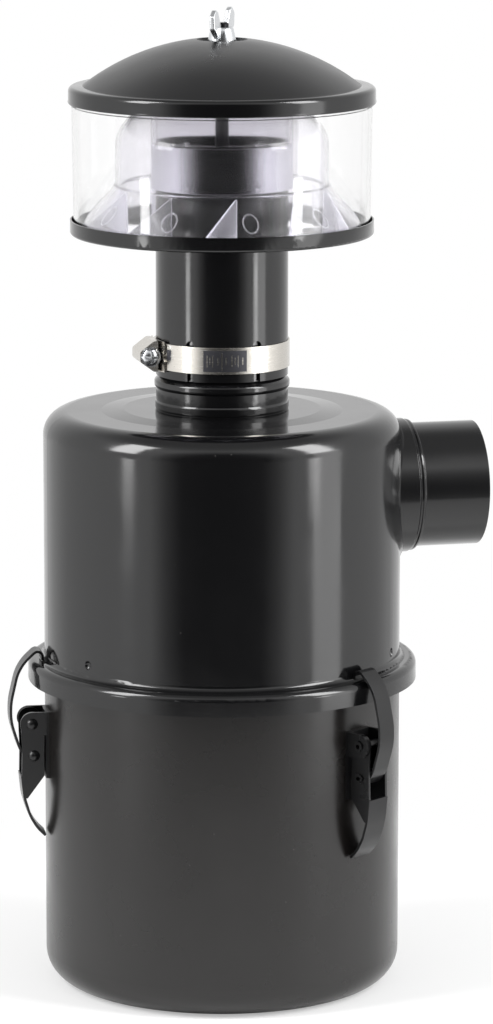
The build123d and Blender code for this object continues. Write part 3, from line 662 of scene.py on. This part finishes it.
# %% [markdown]
# A mould pushes its moulding out with pins, and each pin leaves a fine ring.
# There is one between each pair of vanes, on the slope of the cone. The ring
# is a small circle of eight sides spun into a loop, made a little longer down
# the slope, laid on the cone and repeated.

# %% Ejector marks on the cone
MARK_TURN = radians(-91.0)
MARK_PLACE = 56.2
MARK_RADIUS = 3.3
MARK_LINE = 0.26
MARK_LENGTHENED = 1.5
slope = atan2(waist_height - cone_foot, foot_radius - waist_radius)
mark_height = cone_foot + (foot_radius - MARK_PLACE) * (waist_height - cone_foot) / (foot_radius - waist_radius)
marks = bmesh.new()
start = Matrix.Translation((MARK_RADIUS * MM, 0, 0)) @ Matrix.Rotation(pi / 2, 4, "X")
bmesh.ops.create_circle(marks, segments=8, radius=MARK_LINE * MM, matrix=start)
bmesh.ops.spin(marks, geom=marks.verts[:] + marks.edges[:], cent=(0, 0, 0), axis=(0, 0, 1), angle=2 * pi, steps=32,
               use_merge=True)
bmesh.ops.remove_doubles(marks, verts=marks.verts, dist=1e-7)
lean = Matrix.Rotation(slope, 4, "Y")
lift = INSERT_WALL / 2
lay = Matrix.Translation(((MARK_PLACE + lift * sin(slope)) * MM, 0, (mark_height + lift * cos(slope)) * MM))
bmesh.ops.scale(marks, vec=(MARK_LENGTHENED, 1.0, 1.0), verts=marks.verts)
bmesh.ops.transform(marks, matrix=Matrix.Rotation(MARK_TURN, 4, "Z") @ lay @ lean, verts=marks.verts)
as_piece("ejector_marks", repeated(marks, VANE_COUNT), "filter_body", milky_vane)
print("marks at", round(mark_height, 1), "mm")

# %% [markdown]
# ## Hose clamp
#
# The band is rolled strip with rounded edges. The real one has its range
# etched on a dark patch: here the patch carries plain bars, no lettering.
# A small dark mark beside the housing is the first thread window of the strip.

# %% Clamp: etched patch and thread window
MARK_SHEET = 0.06
PATCH_LIFT = 0.02
BAR_LIFT = 0.07
BAR_HALF = 0.5
# Degrees round the band from the camera, and half the height in millimetres
BARS = ((-12.5, 2.6), (-10.2, 1.6), (-7.9, 2.6), (-3.4, 1.6), (0.0, 3.9), (3.4, 1.6), (8.4, 2.6), (11.0, 1.6),
        (13.6, 2.6), (17.6, 1.6))
band_low, band_high = box_mm("clamp_band")
band_middle = (band_low[2] + band_high[2]) / 2
band_face = -band_low[1]


def on_band(name, turn_from, turn_to, low, high, lift, finish):
    """Thin plate that lies round the band, between two angles seen from the camera and two heights."""
    shape = bmesh.new()
    start = radians(turn_from) + VIEW_TURN - pi / 2
    radius = (band_face + lift) * MM
    ends = [shape.verts.new((radius * cos(start), radius * sin(start), (band_middle + z) * MM)) for z in (low, high)]
    upright = shape.edges.new(ends)
    steps = max(2, round((turn_to - turn_from) / 3))
    bmesh.ops.spin(shape, geom=ends + [upright], cent=(0, 0, 0), axis=(0, 0, 1), angle=radians(turn_to - turn_from),
                   steps=steps)
    bmesh.ops.recalc_face_normals(shape, faces=shape.faces)
    as_piece(name, shape, "filter_body", finish, wall=MARK_SHEET)


on_band("etched_patch", -15.8, 21.2, -4.7, 4.7, PATCH_LIFT, etched_steel)
on_band("strip_window_mark", -54, -48.5, -1.2, 3.4, PATCH_LIFT, etched_steel)
for number, (turn, reach) in enumerate(BARS, start=1):
    on_band(f"etched_bar_{number}", turn - BAR_HALF, turn + BAR_HALF, -reach, reach, BAR_LIFT, stainless)
print("band", round(band_middle, 1), "mm high, face at", round(band_face, 2))

# %% [markdown]
# ## Eased edges
#
# Stamped and cast pieces never have knife edges: the stamping rolls them and
# the coat rounds them, and that thin round edge is what catches the light. So
# the latches, the clamp, the wing nut and the pan are shown by copies of their
# solids with a narrow bevel.

# %% Copies with eased edges
LATCH_EDGE = 0.28
for number in (1, 2, 3):
    eased_copy(f"latch_bracket_{number}", "filter_body", latch_coat, LATCH_EDGE)
    eased_copy(f"latch_lever_{number}", f"lever_{number}", latch_coat, LATCH_EDGE)
    eased_copy(f"latch_bail_{number}", f"bail_{number}", latch_coat, LATCH_EDGE)
eased_copy("clamp_band", "filter_body", stainless, 0.16)
eased_copy("clamp_housing", "filter_body", stainless, 0.3)
eased_copy("clamp_screw", "clamp_screw", zinc, 0.2)
eased_copy("wing_nut", "wing_nut", zinc, 0.45, segments=3)
eased_copy("precleaner_base", "filter_body", rim_paint, 0.2)
